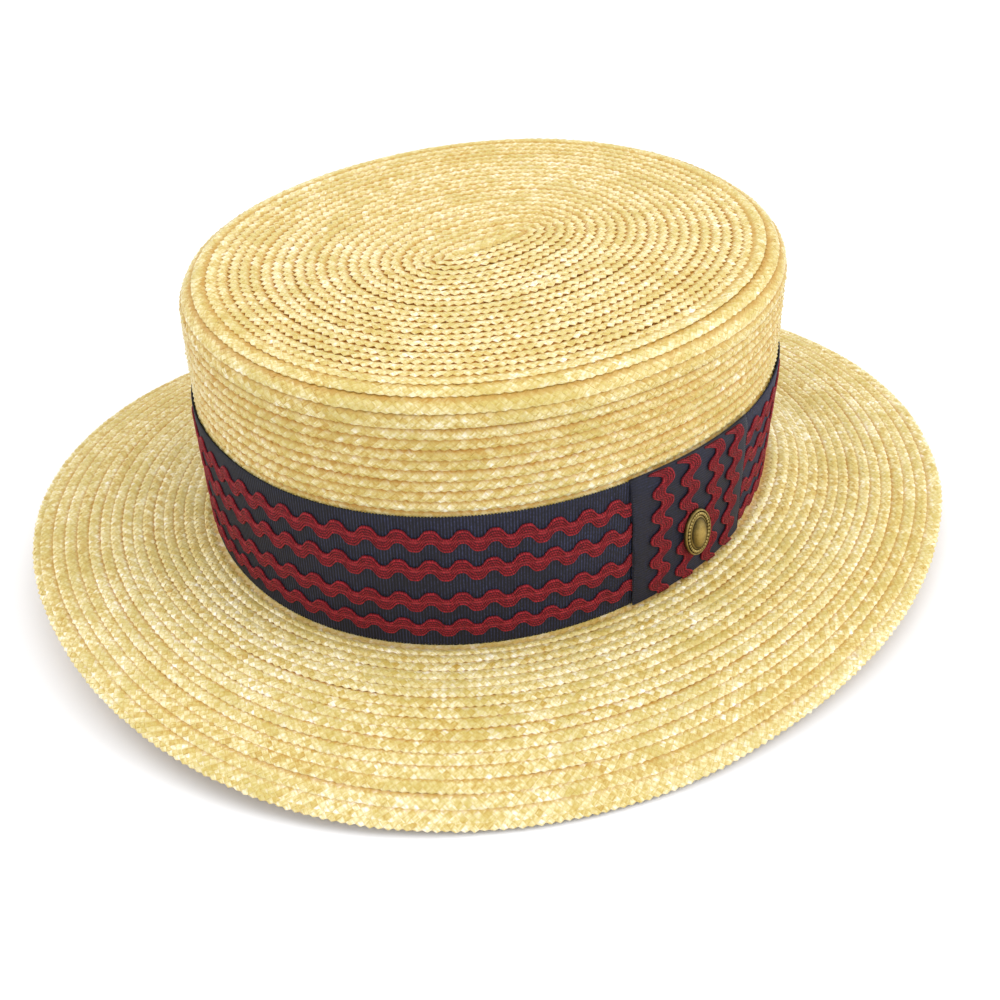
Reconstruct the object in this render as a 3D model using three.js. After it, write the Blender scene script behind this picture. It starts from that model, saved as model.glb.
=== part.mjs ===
// Straw boater hat: oval crown, waved brim, navy band with four rows of red ric-rac,
// a flat upright tab of the same ribbon on the wearer's left, and a small oval brooch.
// Millimetres, +Z up, the hat stands on its brim. Front is -Y, the wearer's left is +X.
import * as THREE from 'three';

// Crown
const hatHeight = 104.9;
const crownHalfLength = 100;
const crownHalfWidth = 87.3;
const ovalPower = 2.11;
const tipRadius = 8.6;
const crownWall = 2.2;

// Brim, lifted over the left back and the right front, down on the two sides between
const brimWidth = 59.8;
const brimThickness = 2;
const brimRise = 15.4;
const liftShare = 0.985;
const liftAngle = 63.7;
const seatDepth = 0.35;

// Band and its wavy braid
const gap = 0.3;
const bandHeight = 48.1;
const ribbonThickness = 1;
const braidThickness = 1;
const braidHalfWidth = 2.3;
const braidSwing = 1.5;

// Flat tab over the band, its middle this far along the wall from the left side
const tabMiddle = 15.2;
const tabWidth = 51.2;
const tabLean = 2.6;
const tabWaveLength = 8.9;

// Brooch
const broochHalfWidth = 5.7;
const broochHalfHeight = 9.4;
const broochHeight = 2.6;
const broochAlong = 14.5;
const broochUp = 18.3;
const broochTilt = 12;

// Rows of braid round the band: share of the ribbon's height from its top edge, waves
// in one turn, and share of a wave by which the row is moved along
const braidRows = [
  { name: '1', across: 0.186, waves: 64, shift: 0.01 },
  { name: '2', across: 0.405, waves: 65, shift: 0.83 },
  { name: '3', across: 0.65, waves: 65, shift: 0.8 },
  { name: '4', across: 0.857, waves: 67, shift: 0.575 },
];

// Upright rows of braid on the tab: share of the tab's width from its left edge
const tabRows = [
  { name: '1', across: 0.203 },
  { name: '2', across: 0.414 },
  { name: '3', across: 0.641 },
  { name: '4', across: 0.838 },
];

// Shares of the brim's width where its sections have their corners
const brimStations = [0, 0.3, 0.55, 0.8, 1];

// The brooch from its rim to its middle: share of its half size and share of its height
const broochProfile = [
  { reach: 1, rise: 0 },
  { reach: 1, rise: 0.3 },
  { reach: 0.93, rise: 0.46 },
  { reach: 0.84, rise: 0.42 },
  { reach: 0.8, rise: 0.5 },
  { reach: 0.5, rise: 0.88 },
];

const roundSteps = 48;
const edgeSteps = 4;
const tabSteps = 12;
const broochSteps = 22;
const stepsPerWave = 4;
const arcSteps = 1440;

const strawColour = 0xd9bd78;
const ribbonColour = 0x1d2233;
const braidColour = 0x8c1a26;
const brassColour = 0x6f6038;

const fullTurn = Math.PI * 2;

// Sizes that follow from the ones above, distances out from the crown wall first
const bandBack = gap;
const bandFace = bandBack + ribbonThickness;
const braidBack = bandFace + gap;
const braidFace = braidBack + braidThickness;
const tabBack = braidFace + gap;
const tabFace = tabBack + ribbonThickness;
const tabBraidBack = tabFace + gap;
const tabBraidFace = tabBraidBack + braidThickness;
const broochBack = tabBraidFace + gap;
const bandFoot = brimRise + brimThickness + gap;
const bandTop = bandFoot + bandHeight;
const tabTop = bandTop + gap + ribbonThickness;

// A point of the oval whose two half sizes are the crown's with "grow" added
function oval(angle, grow) {
  const c = Math.cos(angle);
  const s = Math.sin(angle);
  const sum = Math.abs(c) ** ovalPower + Math.abs(s) ** ovalPower;
  const stretch = sum ** (-1 / ovalPower);
  const x = (crownHalfWidth + grow) * c * stretch;
  const y = (crownHalfLength + grow) * s * stretch;
  return new THREE.Vector2(x, y);
}

// The direction along the crown wall
function alongWall(angle) {
  const small = 0.001;
  return oval(angle + small, 0).sub(oval(angle - small, 0)).normalize();
}

// A point at a distance out from the crown wall and a height above the floor
function offWall(angle, out, z) {
  const along = alongWall(angle);
  const p = oval(angle, 0);
  return new THREE.Vector3(p.x + along.y * out, p.y - along.x * out, z);
}

// Distance along the wall at even steps of the angle, from the left side to the back
const arcs = [0];
for (let i = 1; i <= arcSteps; i += 1) {
  const here = oval((i * fullTurn) / arcSteps, 0);
  const before = oval(((i - 1) * fullTurn) / arcSteps, 0);
  arcs.push(arcs[i - 1] + here.distanceTo(before));
}
const girth = arcs[arcSteps];

function angleAt(along) {
  const wrapped = ((along % girth) + girth) % girth;
  let i = 1;
  while (arcs[i] < wrapped) {
    i += 1;
  }
  const share = (wrapped - arcs[i - 1]) / (arcs[i] - arcs[i - 1]);
  return ((i - 1 + share) * fullTurn) / arcSteps;
}

// A closed body from its points and faces, turned so that its faces look outwards
function body(points, faces) {
  let volume = 0;
  for (const [a, b, c] of faces) {
    volume += points[a].dot(points[b].clone().cross(points[c]));
  }
  const turned = faces.flatMap(([a, b, c]) => (volume < 0 ? [a, c, b] : [a, b, c]));
  const numbers = points.flatMap((p) => [p.x, p.y, p.z]);
  const geometry = new THREE.BufferGeometry();
  geometry.setAttribute('position', new THREE.Float32BufferAttribute(numbers, 3));
  geometry.setIndex(turned);
  geometry.computeVertexNormals();
  return geometry;
}

// The faces between one section and the next, both closed loops of the same length
function wallFaces(first, next, sides) {
  const faces = [];
  for (let j = 0; j < sides; j += 1) {
    const k = (j + 1) % sides;
    faces.push([first + j, next + j, next + k]);
    faces.push([first + j, next + k, first + k]);
  }
  return faces;
}

// A ring whose sections follow one another all the way round
function closedSweep(sections) {
  const sides = sections[0].length;
  const faces = [];
  for (let i = 0; i < sections.length; i += 1) {
    const next = (i + 1) % sections.length;
    faces.push(...wallFaces(i * sides, next * sides, sides));
  }
  return body(sections.flat(), faces);
}

// A strip of one flat outline, placed at each station and shut at both ends
function openSweep(outline, stations, place) {
  const sections = stations.map((station) => outline.map((p) => place(station, p)));
  const sides = outline.length;
  const last = (stations.length - 1) * sides;
  const faces = [];
  for (let i = 0; i < stations.length - 1; i += 1) {
    faces.push(...wallFaces(i * sides, (i + 1) * sides, sides));
  }
  for (const [a, b, c] of THREE.ShapeUtils.triangulateShape(outline, [])) {
    faces.push([a, b, c]);
    faces.push([last + a, last + c, last + b]);
  }
  return body(sections.flat(), faces);
}

// A body from rings of points, shut by one point before the first and after the last
function domedShell(first, rings, last) {
  const sides = rings[0].length;
  const points = [first, ...rings.flat(), last];
  const end = points.length - 1;
  const faces = [];
  for (let j = 0; j < sides; j += 1) {
    const k = (j + 1) % sides;
    faces.push([0, 1 + j, 1 + k]);
    faces.push([end, end - sides + k, end - sides + j]);
  }
  for (let i = 0; i < rings.length - 1; i += 1) {
    faces.push(...wallFaces(1 + i * sides, 1 + (i + 1) * sides, sides));
  }
  return body(points, faces);
}

function roundAngles() {
  return Array.from({ length: roundSteps }, (_, i) => (i * fullTurn) / roundSteps);
}

function crownRing(grow, z) {
  return roundAngles().map((angle) => {
    const p = oval(angle, grow);
    return new THREE.Vector3(p.x, p.y, z);
  });
}

function crown() {
  const turnHeight = hatHeight - tipRadius;
  const innerRadius = tipRadius - crownWall;
  const rings = [];
  for (let i = 0; i <= edgeSteps; i += 1) {
    const turn = (i / edgeSteps) * (Math.PI / 2);
    const grow = tipRadius * (Math.sin(turn) - 1);
    rings.push(crownRing(grow, turnHeight + tipRadius * Math.cos(turn)));
  }
  rings.push(crownRing(0, brimRise));
  rings.push(crownRing(-crownWall, brimRise));
  for (let i = edgeSteps; i >= 0; i -= 1) {
    const turn = (i / edgeSteps) * (Math.PI / 2);
    const grow = innerRadius * Math.sin(turn) - tipRadius;
    rings.push(crownRing(grow, turnHeight + innerRadius * Math.cos(turn)));
  }
  const outerMiddle = new THREE.Vector3(0, 0, hatHeight);
  const innerMiddle = new THREE.Vector3(0, 0, hatHeight - crownWall);
  return domedShell(outerMiddle, rings, innerMiddle);
}

// Height of the underside of the brim's edge above the floor
function edgeHeight(angle) {
  const turn = 2 * (angle - THREE.MathUtils.degToRad(liftAngle));
  const wave = brimRise * liftShare * 0.5 * (1 + Math.cos(turn));
  return Math.max(0, wave - seatDepth);
}

function brimSection(angle) {
  const droop = brimRise - edgeHeight(angle);
  const under = brimStations.map((share) => {
    const p = oval(angle, gap + share * (brimWidth - gap));
    return new THREE.Vector3(p.x, p.y, brimRise - droop * share * share);
  });
  const over = under.map((p) => new THREE.Vector3(p.x, p.y, p.z + brimThickness));
  return [...under, ...over.reverse()];
}

function brim() {
  return closedSweep(roundAngles().map(brimSection));
}

function band() {
  return closedSweep(roundAngles().map((angle) => [
    offWall(angle, bandBack, bandFoot),
    offWall(angle, bandFace, bandFoot),
    offWall(angle, bandFace, bandTop),
    offWall(angle, bandBack, bandTop),
  ]));
}

// The braid swings to one side and back in four steps with flattened crests
function swing(step) {
  return step % stepsPerWave < stepsPerWave / 2 ? braidSwing : -braidSwing;
}

function bandBraid(row) {
  const middle = bandTop - row.across * bandHeight;
  const sections = [];
  for (let i = 0; i < row.waves * stepsPerWave; i += 1) {
    const angle = angleAt((girth * (i / stepsPerWave + row.shift)) / row.waves);
    const low = middle + swing(i) - braidHalfWidth;
    const high = middle + swing(i) + braidHalfWidth;
    sections.push([
      offWall(angle, braidBack, low),
      offWall(angle, braidFace, low),
      offWall(angle, braidFace, high),
      offWall(angle, braidBack, high),
    ]);
  }
  return closedSweep(sections);
}

// The tab leans: it stands further round towards the back at its foot than at its top
function tab() {
  const outline = [
    new THREE.Vector2(tabBack, bandFoot),
    new THREE.Vector2(tabFace, bandFoot),
    new THREE.Vector2(tabFace, tabTop - ribbonThickness / 2),
    new THREE.Vector2(tabFace - ribbonThickness / 2, tabTop),
    new THREE.Vector2(bandBack, tabTop),
    new THREE.Vector2(bandBack, bandTop + gap),
    new THREE.Vector2(tabBack, bandTop + gap),
  ];
  const stations = Array.from({ length: tabSteps + 1 }, (_, i) => i / tabSteps - 0.5);
  return openSweep(outline, stations, (station, p) => {
    const lean = tabLean * ((bandFoot + bandTop) / 2 - p.y) / bandHeight;
    return offWall(angleAt(tabMiddle + station * tabWidth + lean), p.x, p.y);
  });
}

// An upright row of braid whose top end is swung over to the left
function tabBraid(row) {
  const along = tabMiddle + (row.across - 0.5) * tabWidth;
  const count = Math.floor((bandHeight * stepsPerWave) / tabWaveLength);
  const outline = [
    new THREE.Vector2(tabBraidBack, -braidHalfWidth),
    new THREE.Vector2(tabBraidFace, -braidHalfWidth),
    new THREE.Vector2(tabBraidFace, braidHalfWidth),
    new THREE.Vector2(tabBraidBack, braidHalfWidth),
  ];
  const stations = Array.from({ length: count + 1 }, (_, i) => i);
  return openSweep(outline, stations, (station, p) => {
    const curl = station === count ? -braidHalfWidth : 0;
    const angle = angleAt(along + swing(station) + curl + p.y);
    return offWall(angle, p.x, bandFoot + (bandHeight * station) / count);
  });
}

function brooch() {
  const angle = angleAt(broochAlong);
  const along = alongWall(angle);
  const side = new THREE.Vector3(along.x, along.y, 0);
  const up = new THREE.Vector3(0, 0, 1);
  const out = new THREE.Vector3(along.y, -along.x, 0);
  const tilt = THREE.MathUtils.degToRad(broochTilt);
  side.applyAxisAngle(out, tilt);
  up.applyAxisAngle(out, tilt);
  const back = offWall(angle, broochBack, bandFoot + broochUp);
  const rings = broochProfile.map(({ reach, rise }) => {
    const ring = [];
    for (let i = 0; i < broochSteps; i += 1) {
      const turn = (i * fullTurn) / broochSteps;
      const p = back.clone();
      p.addScaledVector(side, Math.cos(turn) * reach * broochHalfWidth);
      p.addScaledVector(up, Math.sin(turn) * reach * broochHalfHeight);
      p.addScaledVector(out, rise * broochHeight);
      ring.push(p);
    }
    return ring;
  });
  return domedShell(back, rings, back.clone().addScaledVector(out, broochHeight));
}

const hat = new THREE.Group();
hat.name = 'straw_boater';

function add(name, geometry, color, roughness, metalness) {
  const material = new THREE.MeshStandardMaterial({ color, roughness, metalness });
  material.name = name;
  const mesh = new THREE.Mesh(geometry, material);
  mesh.name = name;
  hat.add(mesh);
}

add('crown', crown(), strawColour, 0.5, 0);
add('brim', brim(), strawColour, 0.5, 0);
add('band', band(), ribbonColour, 0.85, 0);
for (const row of braidRows) {
  add(`ricrac_${row.name}`, bandBraid(row), braidColour, 0.8, 0);
}
add('bow_tab', tab(), ribbonColour, 0.85, 0);
for (const row of tabRows) {
  add(`tab_ricrac_${row.name}`, tabBraid(row), braidColour, 0.8, 0);
}
add('brooch', brooch(), brassColour, 0.4, 0.9);

export default hat;
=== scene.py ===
import math

import bpy
import numpy as np
from mathutils import Matrix, Vector


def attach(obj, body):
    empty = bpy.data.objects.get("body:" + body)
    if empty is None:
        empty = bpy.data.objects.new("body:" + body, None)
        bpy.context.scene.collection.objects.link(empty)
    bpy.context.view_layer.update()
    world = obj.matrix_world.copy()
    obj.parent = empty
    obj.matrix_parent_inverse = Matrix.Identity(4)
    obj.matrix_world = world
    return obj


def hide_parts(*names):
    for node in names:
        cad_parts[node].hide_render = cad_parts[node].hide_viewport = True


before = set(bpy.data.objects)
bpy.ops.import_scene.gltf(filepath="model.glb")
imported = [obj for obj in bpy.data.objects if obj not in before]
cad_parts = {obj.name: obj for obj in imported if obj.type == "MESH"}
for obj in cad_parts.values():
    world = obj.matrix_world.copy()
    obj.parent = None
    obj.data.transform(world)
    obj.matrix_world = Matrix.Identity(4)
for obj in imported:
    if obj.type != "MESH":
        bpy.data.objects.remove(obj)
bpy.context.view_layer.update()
scene = bpy.context.scene
chance = np.random.default_rng(11)
fullTurn = 2 * math.pi
metres = 0.001  # shapes are worked out in millimetres

camera = {
    "place": (343.81, -239.33, 309.31),
    "right": (0.57409, 0.81879, 0.00247),
    "up": (-0.48479, 0.33747, 0.80690),
    "back": (0.65985, -0.46443, 0.59068),
    "roll": -0.026075,
    "lens": 51.42,
    "sensor": 36.0,
}


def addCamera():
    right, up, back = (Vector(camera[k]) for k in ("right", "up", "back"))
    c, s = math.cos(camera["roll"]), math.sin(camera["roll"])
    turned = (right * c + up * s, up * c - right * s, back)
    data = bpy.data.cameras.new("photoCamera")
    data.lens = camera["lens"]
    data.sensor_width = camera["sensor"]
    data.sensor_fit = "HORIZONTAL"
    data.clip_start = 0.01
    seen = bpy.data.objects.new("photoCamera", data)
    scene.collection.objects.link(seen)
    place = Matrix([v.normalized() for v in turned]).transposed().to_4x4()
    place.translation = Vector(camera["place"]) * metres
    seen.matrix_world = place
    scene.camera = seen


addCamera()
print("camera set")

hat = {
    "height": 104.9,
    "halfLength": 100.0,
    "halfWidth": 87.3,
    "power": 2.11,
    "edgeRadius": 8.6,
    "brimRise": 15.4,
    "brimWidth": 59.8,
    "brimThickness": 2.0,
    "liftShare": 0.985,
    "liftAngle": math.radians(63.7),
    "seat": 0.35,
    "gap": 0.3,
    "sideRise": 7.0,  # the brim climbs the crown a little at the left back
    "sideAngle": math.radians(56),
    "sideSpread": math.radians(32),
    "sideReach": 13.0,
    "waist": (2.2, 1.6),  # how far the ribbon draws the wall in, at that side and opposite
    "waistFrom": 66.0,
    "waistTo": 18.0,
    "waistReach": 7.0,
}
tipFlat = hat["halfWidth"] - hat["edgeRadius"]
edgeArc = hat["edgeRadius"] * math.pi / 2
wallStart = tipFlat + edgeArc


def oval(angle, grow):
    c, s = np.cos(angle), np.sin(angle)
    p = hat["power"]
    k = (np.abs(c) ** p + np.abs(s) ** p) ** (-1 / p)
    return (hat["halfWidth"] + grow) * c * k, (hat["halfLength"] + grow) * s * k


def outward(angle, grow):
    step = 1e-4
    x0, y0 = oval(angle - step, grow)
    x1, y1 = oval(angle + step, grow)
    size = np.hypot(x1 - x0, y1 - y0) + 1e-12
    return (y1 - y0) / size, -(x1 - x0) / size


def drawnWall(angle, z):
    share = np.clip((hat["waistFrom"] - z) / (hat["waistFrom"] - hat["waistTo"]), 0, 1.1)
    turned = np.cos(angle - hat["sideAngle"])
    amount = np.where(turned > 0, *hat["waist"])
    return amount * turned**2 * share


# Points and outward directions of the crown, "down" millimetres from the tip's middle
def crownSurface(angle, down):
    turn = np.clip((down - tipFlat) / hat["edgeRadius"], 0, math.pi / 2)
    grow = np.where(
        down < tipFlat, down - hat["halfWidth"], hat["edgeRadius"] * (np.sin(turn) - 1)
    )
    low = hat["edgeRadius"] * (1 - np.cos(turn)) + np.maximum(down - wallStart, 0)
    x, y = oval(angle, grow - drawnWall(angle, hat["height"] - low))
    nx, ny = outward(angle, np.maximum(grow, -60))
    point = np.stack([x, y, hat["height"] - low], -1)
    return point, np.stack([nx * np.sin(turn), ny * np.sin(turn), np.cos(turn)], -1)


def edgeHeight(angle):
    wave = 0.5 * (1 + np.cos(2 * (angle - hat["liftAngle"])))
    lifted = hat["brimRise"] * hat["liftShare"] * wave
    return np.maximum(0, lifted - hat["seat"])


def footRise(angle):
    away = np.mod(angle - hat["sideAngle"] + math.pi, fullTurn) - math.pi
    return hat["sideRise"] * np.exp(-((away / hat["sideSpread"]) ** 2))


def brimPoint(angle, out):
    share = np.maximum((out - hat["gap"]) / (hat["brimWidth"] - hat["gap"]), 0)
    droop = hat["brimRise"] - edgeHeight(angle)
    near = np.exp(-((out / hat["waistReach"]) ** 2))
    x, y = oval(angle, out - drawnWall(angle, hat["waistTo"]) * near)
    z = hat["brimRise"] - droop * share**2 + hat["brimThickness"]
    z = z + footRise(angle) * np.exp(-((out / hat["sideReach"]) ** 2))
    return np.stack([x, y, z], -1)


def brimSurface(angle, out):
    step = 1e-3
    across = brimPoint(angle, out + 0.01) - brimPoint(angle, out - 0.01)
    along = brimPoint(angle + step, out) - brimPoint(angle - step, out)
    normal = np.cross(across, along)
    normal /= np.linalg.norm(normal, axis=-1, keepdims=True)
    return brimPoint(angle, out), normal


# Distance along the crown wall from the wearer's left side, towards the back
fineAngles = np.linspace(0, fullTurn, 7201)
fineX, fineY = oval(fineAngles, 0)
fineArcs = np.concatenate([[0], np.cumsum(np.hypot(np.diff(fineX), np.diff(fineY)))])
girth = float(fineArcs[-1])


def angleAt(along):
    return np.interp(np.mod(along, girth), fineArcs, fineAngles)


def offWall(along, out, z):
    angle = angleAt(along)
    x, y = oval(angle, -drawnWall(angle, z))
    nx, ny = outward(angle, 0)
    return np.stack(np.broadcast_arrays(x + nx * out, y + ny * out, z), -1)


def newPiece(name, points, faces, material, node, uvs=(), values=(), sharp=None):
    mesh = bpy.data.meshes.new(name)
    corners = np.concatenate([f.ravel() for f in faces])
    sizes = np.concatenate([np.full(len(f), f.shape[1]) for f in faces])
    starts = np.concatenate([[0], np.cumsum(sizes)[:-1]])
    mesh.vertices.add(len(points))
    mesh.vertices.foreach_set("co", (points * metres).astype(np.float32).ravel())
    mesh.loops.add(len(corners))
    mesh.loops.foreach_set("vertex_index", corners.astype(np.int32))
    mesh.polygons.add(len(sizes))
    mesh.polygons.foreach_set("loop_start", starts.astype(np.int32))
    mesh.update(calc_edges=True)
    for uvName, uv in uvs:
        layer = mesh.uv_layers.new(name=uvName)
        layer.data.foreach_set("uv", uv.astype(np.float32).ravel())
    for valueName, domain, value in values:
        layer = mesh.attributes.new(valueName, "FLOAT", domain)
        layer.data.foreach_set("value", value.astype(np.float32))
    mesh.shade_smooth()
    if sharp is not None:
        ends = np.zeros(len(mesh.edges) * 2, dtype=np.int32)
        mesh.edges.foreach_get("vertices", ends)
        hard = ~(sharp[ends[0::2]] | sharp[ends[1::2]])
        layer = mesh.attributes.new("sharp_edge", "BOOLEAN", "EDGE")
        layer.data.foreach_set("value", hard)
    mesh.validate()
    mesh.materials.append(material)
    piece = bpy.data.objects.new(name, mesh)
    scene.collection.objects.link(piece)
    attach(piece, "root")
    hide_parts(node)
    return piece


# Sections that follow one another, each a closed loop; an open sweep gets end faces
def sweep(sections, wrap):
    n, k = sections.shape[:2]
    points = sections.reshape(-1, 3)
    i = np.arange(n if wrap else n - 1)[:, None]
    j = np.arange(k)[None, :]
    a = i * k + j
    b = i * k + (j + 1) % k
    c = ((i + 1) % n) * k + (j + 1) % k
    d = ((i + 1) % n) * k + j
    faces = [np.stack([a, b, c, d], -1).reshape(-1, 4)]
    if not wrap:
        points = np.concatenate([points, sections[[0, -1]].mean(1)])
        loop = np.arange(k)
        after = (loop + 1) % k
        last = (n - 1) * k
        first = np.stack([np.full(k, n * k), after, loop], -1)
        end = np.stack([np.full(k, n * k + 1), last + loop, last + after], -1)
        faces.append(np.concatenate([first, end]))
    return points, faces


class Wire:
    def __init__(self, tree, socket=None):
        self.tree = tree
        self.socket = socket

    def node(self, kind, settings=None, links=None, output=0):
        made = self.tree.nodes.new(kind)
        for key, value in (settings or {}).items():
            if key == "stops":
                ramp = made.color_ramp
                while len(ramp.elements) < len(value):
                    ramp.elements.new(1)
                for stop, (place, colour) in zip(ramp.elements, value):
                    stop.position = place
                    stop.color = colour
            else:
                setattr(made, key, value)
        for key, value in (links or {}).items():
            if isinstance(value, Wire):
                self.tree.links.new(value.socket, made.inputs[key])
            else:
                made.inputs[key].default_value = value
        return Wire(self.tree, made.outputs[output] if made.outputs else None)

    def other(self, output):  # another output of the same node
        return Wire(self.tree, self.socket.node.outputs[output])

    def maths(self, operation, *others):
        values = dict(enumerate((self, *others)))
        return self.node("ShaderNodeMath", {"operation": operation}, values)

    def __add__(self, other):
        return self.maths("ADD", other)

    __radd__ = __add__

    def __sub__(self, other):
        return self.maths("SUBTRACT", other)

    def __rsub__(self, other):
        return self.node("ShaderNodeMath", {"operation": "SUBTRACT"}, {0: other, 1: self})

    def __mul__(self, other):
        return self.maths("MULTIPLY", other)

    def kept(self):  # held between 0 and 1
        return self.node("ShaderNodeClamp", None, {0: self})

    def ramp(self, *stops):
        return self.node("ShaderNodeValToRGB", {"stops": stops}, {0: self})

    def stepped(self, low, high):
        return self.node("ShaderNodeMapRange", {"interpolation_type": "SMOOTHSTEP"},
                         {0: self, 1: low, 2: high})

    def blend(self, first, second):
        return self.node("ShaderNodeMix", {"data_type": "RGBA"},
                         {0: self, 6: first, 7: second}, 2)

    def noise(self, scale, detail):
        return self.node("ShaderNodeTexNoise", None,
                         {"Vector": self, "Scale": scale, "Detail": detail})

    def streaks(self, stretch, detail):  # flat noise drawn out along the straw
        drawn = self.node("ShaderNodeVectorMath", {"operation": "MULTIPLY"},
                          {0: self, 1: (*stretch, 1.0)})
        return self.node("ShaderNodeTexNoise", {"noise_dimensions": "2D"},
                         {"Vector": drawn, "Scale": 1.0, "Detail": detail})

    def onMesh(self, name):  # a number that newPiece keeps on the mesh
        return self.node("ShaderNodeAttribute", {"attribute_name": name}, None, 2)

    def place(self):  # the place on the piece itself
        return self.node("ShaderNodeTexCoord", None, None, 3)


def newMaterial(name):
    material = bpy.data.materials.new(name)
    material.use_nodes = True
    material.node_tree.nodes.clear()
    return material, Wire(material.node_tree)


def finishMaterial(root, links, settings=None):
    shader = root.node("ShaderNodeBsdfPrincipled", settings, links)
    root.node("ShaderNodeOutputMaterial", None, {0: shader})


def rgb(r, g, b):  # a colour as it is read on a screen, 0 to 255
    shares = [v / 255 for v in (r, g, b)]
    return (*[((v + 0.055) / 1.055) ** 2.4 if v > 0.0404 else v / 12.92 for v in shares], 1.0)


def strawMaterial():
    look = {
        # shade is a brown for the painted shade in the grooves and on the outer folds; the
        # real dark specks use it too
        "shade": rgb(172, 110, 14),
        "amber": rgb(186, 148, 62),
        "gold": rgb(208, 187, 108),
        "cream": rgb(235, 225, 173),
        # near white at the top of the ramp, for painted glints
        "paintedGlintWhite": rgb(253, 250, 236),
        "olive": rgb(196, 180, 96),
        "fibre": (0.12, 5.0),  # fine lines in each straw, along and across it
        "stroke": (0.35, 1.6),  # broader lines
        "patch": 22.0,
        "greener": 75.0,
        "mottle": 260.0,
        "fine": 900.0,
        "rough": 0.3,
    }
    material, root = newMaterial("plaitedStraw")
    tone, lift, groove = (root.onMesh(name) for name in ("tone", "lift", "groove"))
    fibreMap = root.node("ShaderNodeUVMap", {"uv_map": "fibre"})
    fibre = fibreMap.streaks(look["fibre"], 3.0)
    strokes = fibreMap.streaks(look["stroke"], 2.0)
    place = root.place()
    patches = place.noise(look["patch"], 2.0)
    mottled = place.noise(look["mottle"], 3.0)
    fine = place.noise(look["fine"], 2.0)
    warmth = (tone * 0.6 + (patches - 0.5) * 0.4 + (mottled - 0.5) * 0.6 + (fine - 0.5) * 0.7
              + (strokes - 0.5) * 0.7 + fibre * 0.3).kept()
    # the ramp's top stop is a painted glint white
    colour = warmth.ramp((0.08, look["amber"]), (0.4, look["gold"]), (0.74, look["cream"]),
                         (0.97, look["paintedGlintWhite"]))
    green = place.noise(look["greener"], 3.0).stepped(0.48, 0.62)
    colour = (green * 0.45).blend(colour, look["olive"])
    # painted shade: the low points where strands dive under their neighbours darkened toward
    # amber
    colour = ((1 - lift) * 0.34).blend(colour, look["amber"])
    # painted shade: the grooves under the next row's edge and the outer folds darkened toward
    # brown
    colour = (groove * 0.95).blend(colour, look["shade"])
    # real dark specks in the straw, in the same brown as the painted shade
    speck = mottled.stepped(0.72, 0.78) * 0.5
    colour = speck.blend(colour, look["shade"])
    bump = root.node("ShaderNodeBump", None,
                     {"Strength": 0.35, "Distance": 0.00012, "Height": fibre})
    rough = look["rough"] + (fibre - 0.5) * 0.25 + groove * 0.5
    finishMaterial(root, {"Base Color": colour, "Roughness": rough, "Normal": bump,
                          "Specular IOR Level": 0.5})
    return material


straw = strawMaterial()
print("straw finish made")

plait = {
    "width": 5.0,  # between its two folded edges
    "columns": 3,
    "tip": 0.6,  # how far the folds point out past the edge
    "mid": 0.06,  # heights of a strand's ends, sides and middle
    "side": 0.15,
    "crest": 0.3,
    "strand": 0.86,  # how much of its cell a strand's raised part fills
    "strands": 8,
    "joinShort": 60.0,  # least and greatest length of one straw
    "joinLong": 150.0,
    "jitter": 0.25,
    "stray": 0.08,
    "drift": (0.22, 33.0),  # a row strays sideways by this much over such lengths
    "sag": (0.08, 21.0),  # and up and down by this
    "line": 1.4,  # a row's length is taken this far in from its edge
    "samples": 1500,
    "leastPitch": 2.9,
    "softOver": 1.6,  # relief softens where the rows lie nearly a plait's width apart
    "softest": 0.3,
    "fibreShift": 977,  # each straw takes its grain from another place
}
# Depth of a row under the hat's surface, by the share of the pitch in from its outer edge.
# A row's edge rests on the next row, which starts deeper. "fold" is how far the folds at the
# edges point out, "tone" lightens or darkens each line of strands (a painted highlight on the
# outer fold, painted light and shade further in), "mix" is how much they differ, "relief" how
# far they stand, "groove" where painted shade falls under the next row's edge, "foot" how far
# the edge reaches down, "rim" how dark the painted shade on the outer fold is, and "calm"
# where the ridges start.
ridges = {
    "tip": {"share": [-0.2, 0, 0.15, 0.42, 0.7, 1.0, 1.1, 1.5],
            "depth": [0.34, 0.24, 0.14, 0.1, 0.5, 0.95, 1.1, 1.4], "fold": 2.0,
            "tone": [0.26, 0.16, 0.02, -0.2, -0.3], "mix": 0.6, "relief": 0.9,
            "groove": (0.6, 0.82), "foot": 0.5, "rim": 0.85, "calm": (1.0, 2.5)},
    "wall": {"share": [-0.2, 0, 0.2, 0.42, 0.7, 0.92, 1.1, 1.5],
             "depth": [1.0, 0.85, 0.4, 0.15, 0.5, 1.1, 1.5, 1.75], "fold": 1.2,
             "tone": [0.14, 0.1, -0.02, -0.22, -0.2], "mix": 0.95, "relief": 1.3,
             "groove": (0.66, 0.92), "foot": 0.2, "rim": 0.6, "calm": (1.0, 2.5)},
    "brim": {"share": [-0.15, 0, 0.12, 0.3, 0.6, 0.9, 1.1, 1.4],
             "depth": [0.6, 0.5, 0.26, 0.16, 0.3, 0.64, 0.95, 1.2], "fold": 0.9,
             "tone": [0.32, -0.02, 0.14, 0.1, 0.1], "mix": 0.85, "relief": 0.8,
             "groove": (0.78, 0.99), "foot": 0.1, "rim": 0.35, "calm": (0.9, 1.8)},
}


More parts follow.
